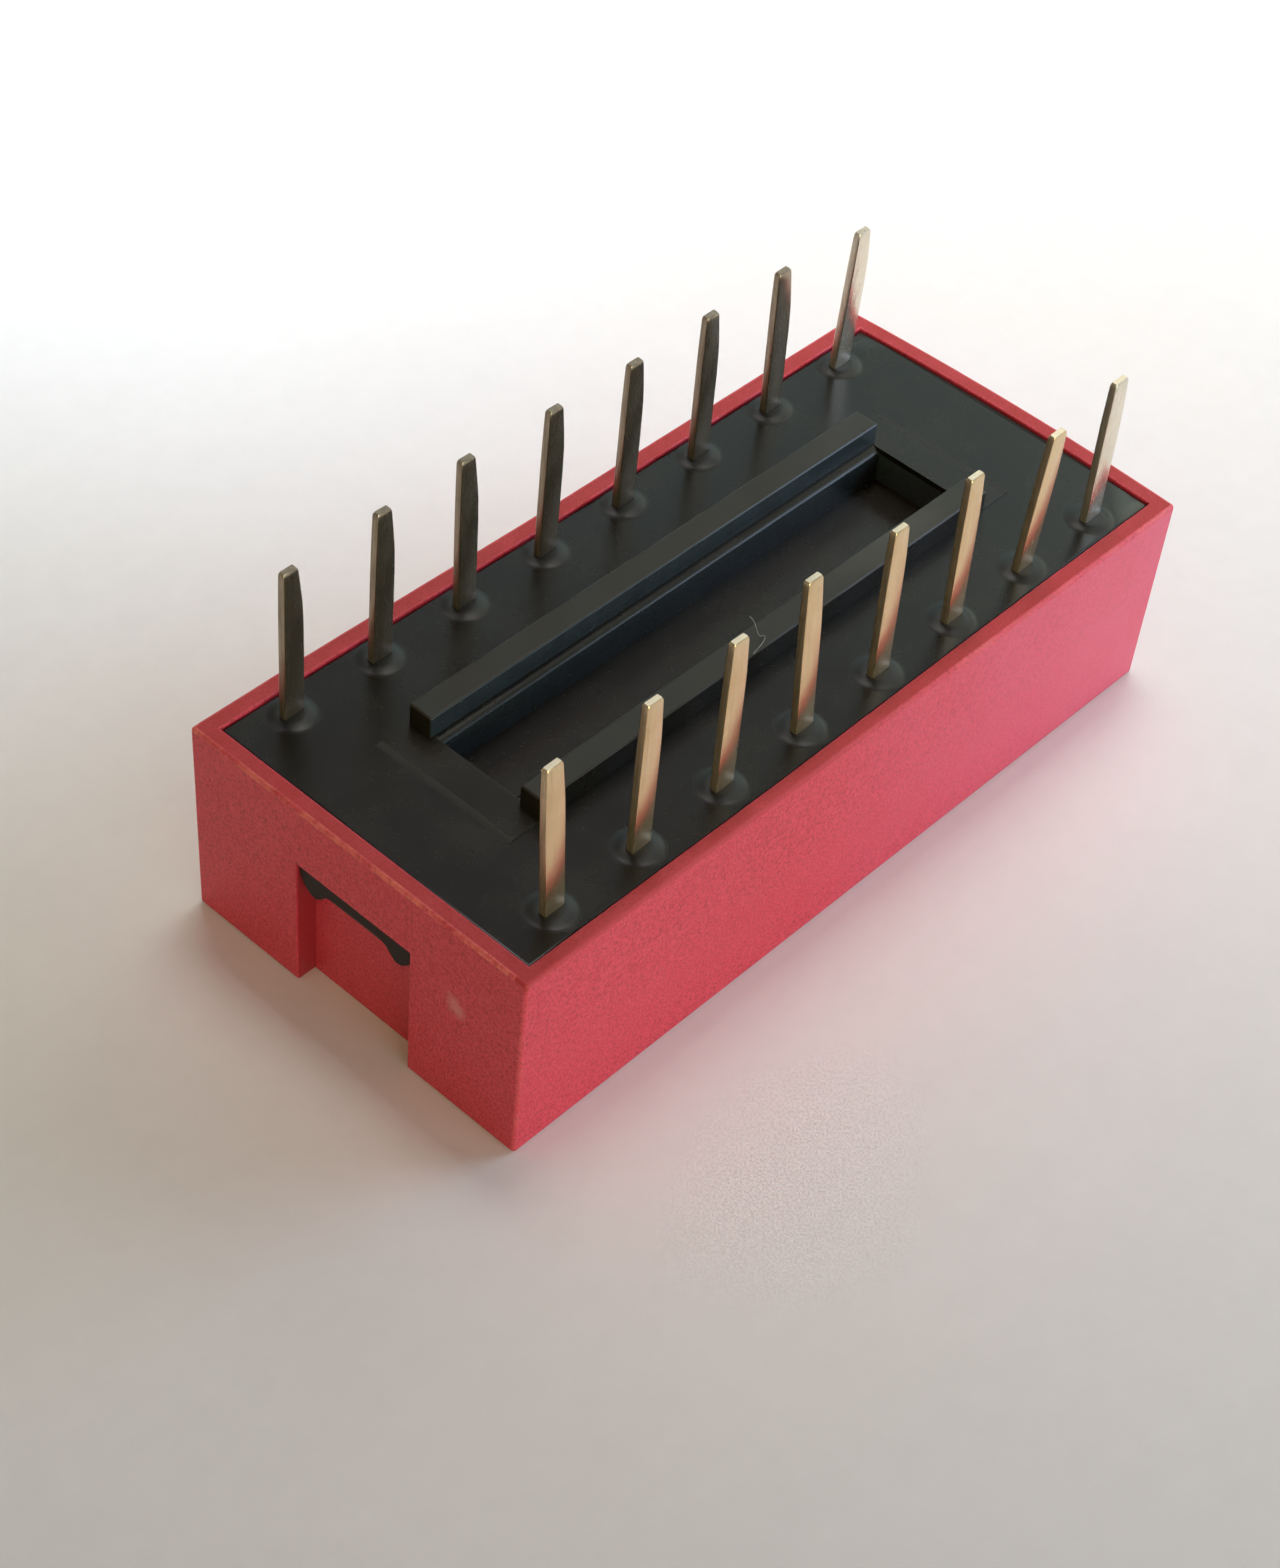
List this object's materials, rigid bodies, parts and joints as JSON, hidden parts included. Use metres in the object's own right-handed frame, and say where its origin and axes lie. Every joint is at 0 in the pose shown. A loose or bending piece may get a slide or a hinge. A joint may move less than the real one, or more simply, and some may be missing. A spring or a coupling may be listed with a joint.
{
  "type": "dip switch",
  "caption": "Through-hole slide DIP switch with a red cover, black base and two rows of flat pins, lying on its actuator face with the pins up.",
  "frame": {"origin": "centre of the actuator face, on the surface the switch lies on", "axes": "+X along the row of switches, +Y across it towards the OFF side, +Z away from the actuator face, out through the pins; on a circuit board the part is used turned over"},
  "size_m": [0.0214, 0.0098, 0.0095],
  "materials": {
    "red_plastic": "fine matt moulded grain",
    "black_plastic": "semi-matt moulded",
    "white_plastic": "smooth moulded",
    "contact_metal": "gold-plated strip",
    "pin_metal": "plated, lightly tarnished"
  },
  "bodies": {
    "housing": {"cover": "red_plastic", "base": "black_plastic", "terminal_front_1": "pin_metal", "terminal_front_2": "pin_metal", "terminal_front_3": "pin_metal", "terminal_front_4": "pin_metal", "terminal_front_5": "pin_metal", "terminal_front_6": "pin_metal", "terminal_front_7": "pin_metal", "terminal_front_8": "pin_metal", "terminal_back_1": "pin_metal", "terminal_back_2": "pin_metal", "terminal_back_3": "pin_metal", "terminal_back_4": "pin_metal", "terminal_back_5": "pin_metal", "terminal_back_6": "pin_metal", "terminal_back_7": "pin_metal", "terminal_back_8": "pin_metal"},
    "switch_1": {"slider_1": "white_plastic", "contact_1": "contact_metal"},
    "switch_2": {"slider_2": "white_plastic", "contact_2": "contact_metal"},
    "switch_3": {"slider_3": "white_plastic", "contact_3": "contact_metal"},
    "switch_4": {"slider_4": "white_plastic", "contact_4": "contact_metal"},
    "switch_5": {"slider_5": "white_plastic", "contact_5": "contact_metal"},
    "switch_6": {"slider_6": "white_plastic", "contact_6": "contact_metal"},
    "switch_7": {"slider_7": "white_plastic", "contact_7": "contact_metal"},
    "switch_8": {"slider_8": "white_plastic", "contact_8": "contact_metal"}
  },
  "joints": [
    {"name": "slide_1", "type": "slide", "parent": "housing", "child": "switch_1", "axis": [0, -1, 0], "range_m": [0, 0.0015]},
    {"name": "slide_2", "type": "slide", "parent": "housing", "child": "switch_2", "axis": [0, -1, 0], "range_m": [0, 0.0015]},
    {"name": "slide_3", "type": "slide", "parent": "housing", "child": "switch_3", "axis": [0, -1, 0], "range_m": [0, 0.0015]},
    {"name": "slide_4", "type": "slide", "parent": "housing", "child": "switch_4", "axis": [0, -1, 0], "range_m": [0, 0.0015]},
    {"name": "slide_5", "type": "slide", "parent": "housing", "child": "switch_5", "axis": [0, -1, 0], "range_m": [0, 0.0015]},
    {"name": "slide_6", "type": "slide", "parent": "housing", "child": "switch_6", "axis": [0, -1, 0], "range_m": [0, 0.0015]},
    {"name": "slide_7", "type": "slide", "parent": "housing", "child": "switch_7", "axis": [0, -1, 0], "range_m": [0, 0.0015]},
    {"name": "slide_8", "type": "slide", "parent": "housing", "child": "switch_8", "axis": [0, -1, 0], "range_m": [0, 0.0015]}
  ]
}
